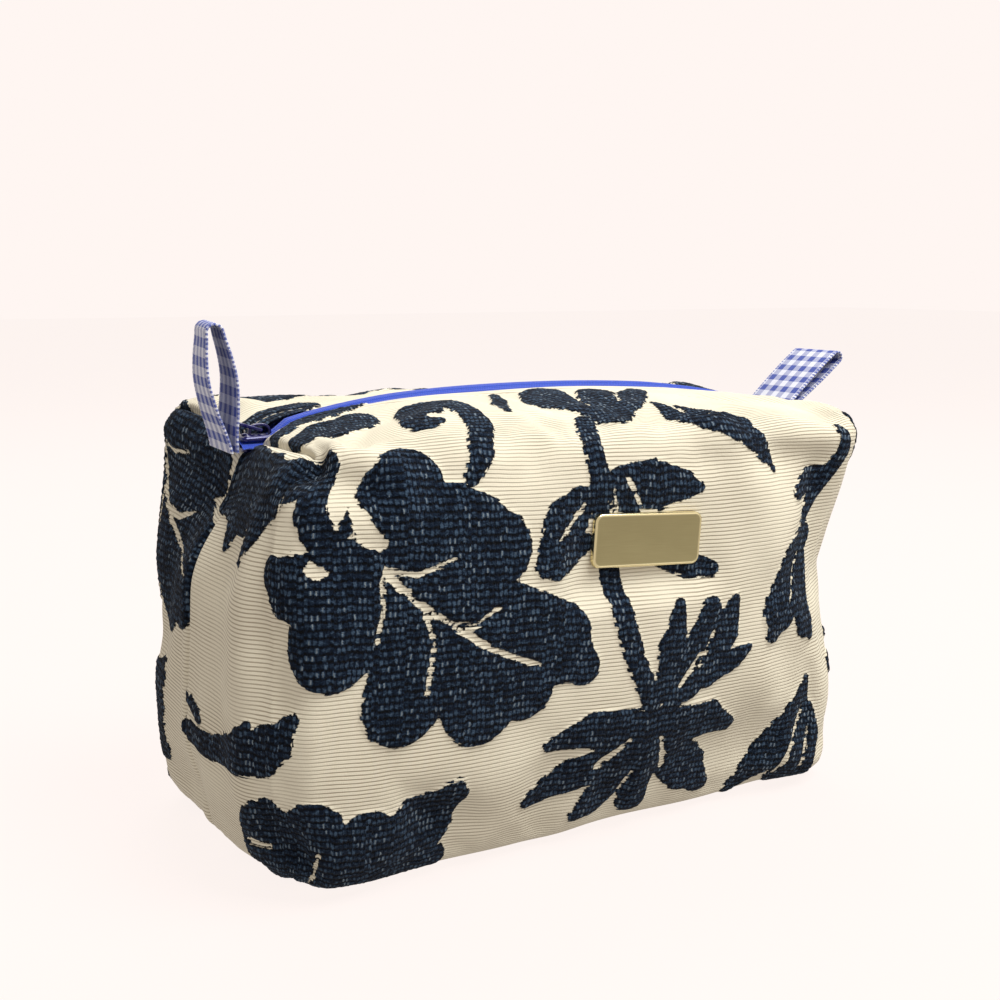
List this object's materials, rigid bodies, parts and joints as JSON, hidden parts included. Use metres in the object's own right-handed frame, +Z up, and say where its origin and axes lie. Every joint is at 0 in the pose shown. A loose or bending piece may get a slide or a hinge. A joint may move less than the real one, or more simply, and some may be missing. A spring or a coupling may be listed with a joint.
{
  "type": "zippered pouch",
  "caption": "Soft boxy pouch of patterned woven cloth with a coil zip along the top, ribbon loops at both ends and a metal plate on the front.",
  "frame": {"origin": "middle of the underside, on the surface that the pouch stands on", "axes": "+X along the zip from its closed end to its far end, +Y from the front with the plate to the back, +Z up"},
  "size_m": [0.2745, 0.128, 0.1861],
  "materials": {
    "jacquard": "cream ribbed cloth with a raised navy chenille leaf pattern",
    "fleece": "soft bonded fleece",
    "lining": "plain woven cotton",
    "zip_tape": "woven nylon tape",
    "zip_coil": "satin nylon coil",
    "slider": "glossy blue enamel on zinc",
    "gingham": "woven checked ribbon",
    "plate": "pale gold, brushed face and polished edge"
  },
  "bodies": {
    "root": {"outer_base": "jacquard", "outer_end_left": "jacquard", "outer_end_right": "jacquard", "fleece_base": "fleece", "fleece_end_left": "fleece", "fleece_end_right": "fleece", "lining_base": "lining", "lining_end_left": "lining", "lining_end_right": "lining", "zip_top_stops": "zip_coil", "zip_bottom_stop": "zip_coil"},
    "front_wall": {"outer_front": "jacquard", "fleece_front": "fleece", "lining_front": "lining", "zip_tape_front": "zip_tape", "zip_coil_front": "zip_coil", "name_plate": "plate", "plate_prongs": "plate"},
    "back_wall": {"outer_back": "jacquard", "fleece_back": "fleece", "lining_back": "lining", "zip_tape_back": "zip_tape", "zip_coil_back": "zip_coil"},
    "slider": {"slider_body": "slider", "slider_bail": "slider"},
    "pull": {"pull_tab": "slider"},
    "left_loop": {"loop_left": "gingham"},
    "right_loop": {"loop_right": "gingham"}
  },
  "joints": [
    {"name": "slider_travel", "type": "slide", "parent": "root", "child": "slider", "axis": [1, 0, 0], "range_m": [0, 0.188]},
    {"name": "pull_swing", "type": "hinge", "parent": "slider", "child": "pull", "pos_m": [-0.099, 0, 0.1431], "axis": [0, 1, 0], "range_deg": [0, 144]},
    {"name": "front_wall_open", "type": "hinge", "parent": "root", "child": "front_wall", "pos_m": [0, -0.051, 0.0007], "axis": [1, 0, 0], "range_deg": [0, 11], "deforming": ["zip_tape_front", "zip_coil_front"]},
    {"name": "back_wall_open", "type": "hinge", "parent": "root", "child": "back_wall", "pos_m": [0, 0.051, 0.0007], "axis": [-1, 0, 0], "range_deg": [0, 11], "deforming": ["zip_tape_back", "zip_coil_back"]},
    {"name": "left_loop_flop", "type": "hinge", "parent": "root", "child": "left_loop", "pos_m": [-0.1082, 0, 0.1409], "axis": [0, 1, 0], "range_deg": [-45, 0]},
    {"name": "right_loop_flop", "type": "hinge", "parent": "root", "child": "right_loop", "pos_m": [0.119, 0, 0.1385], "axis": [0, 1, 0], "range_deg": [-40, 8]}
  ],
  "couplings": [
    {"joint": "front_wall_open", "follows": "slider_travel", "rad_per_m": 1.019},
    {"joint": "back_wall_open", "follows": "slider_travel", "rad_per_m": 1.019}
  ]
}
